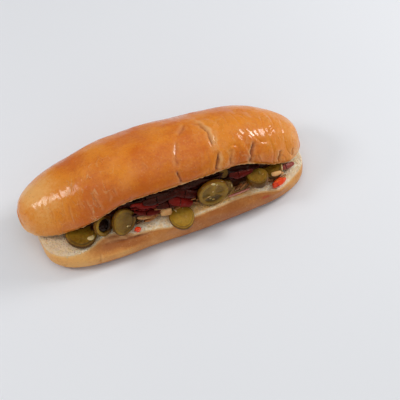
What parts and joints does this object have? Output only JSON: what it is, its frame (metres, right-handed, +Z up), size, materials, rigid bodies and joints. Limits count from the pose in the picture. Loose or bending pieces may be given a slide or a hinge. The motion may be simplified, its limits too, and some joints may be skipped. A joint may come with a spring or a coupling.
{
  "type": "filled sandwich roll",
  "caption": "Long soft roll split lengthways along its front and filled with cooked meat, red onion strips, pickled green pepper slices and bits of red pepper.",
  "frame": {"origin": "under the middle of the bounding box, on the flat underside of the lower half", "axes": "+X along the roll, -Y the open front where the filling shows, +Z up"},
  "size_m": [0.288, 0.1153, 0.0874],
  "materials": {
    "crown_crust": "golden brown baked crust, slightly glossy on top",
    "heel_crust": "pale golden crust with cream crumb on the cut face",
    "cooked_meat": "moist browned meat",
    "red_onion": "wet dark red cooked onion",
    "pale_onion": "wet pinkish onion",
    "pickled_pepper": "wet olive green pickled pepper",
    "red_pepper": "wet bright red pepper"
  },
  "bodies": {
    "root": {"crown": "crown_crust", "heel": "heel_crust", "meat": "cooked_meat", "onions": "red_onion", "onion_strand": "pale_onion", "pepper_slice_1": "pickled_pepper", "pepper_slice_2": "pickled_pepper", "pepper_slice_3": "pickled_pepper", "pepper_slice_4": "pickled_pepper", "pepper_slice_5": "pickled_pepper", "pepper_slice_6": "pickled_pepper", "pepper_slice_7": "pickled_pepper", "pepper_slice_8": "pickled_pepper", "pepper_slice_9": "pickled_pepper", "pepper_slice_10": "pickled_pepper", "red_pepper_large": "red_pepper", "red_pepper_small": "red_pepper"}
  },
  "joints": []
}
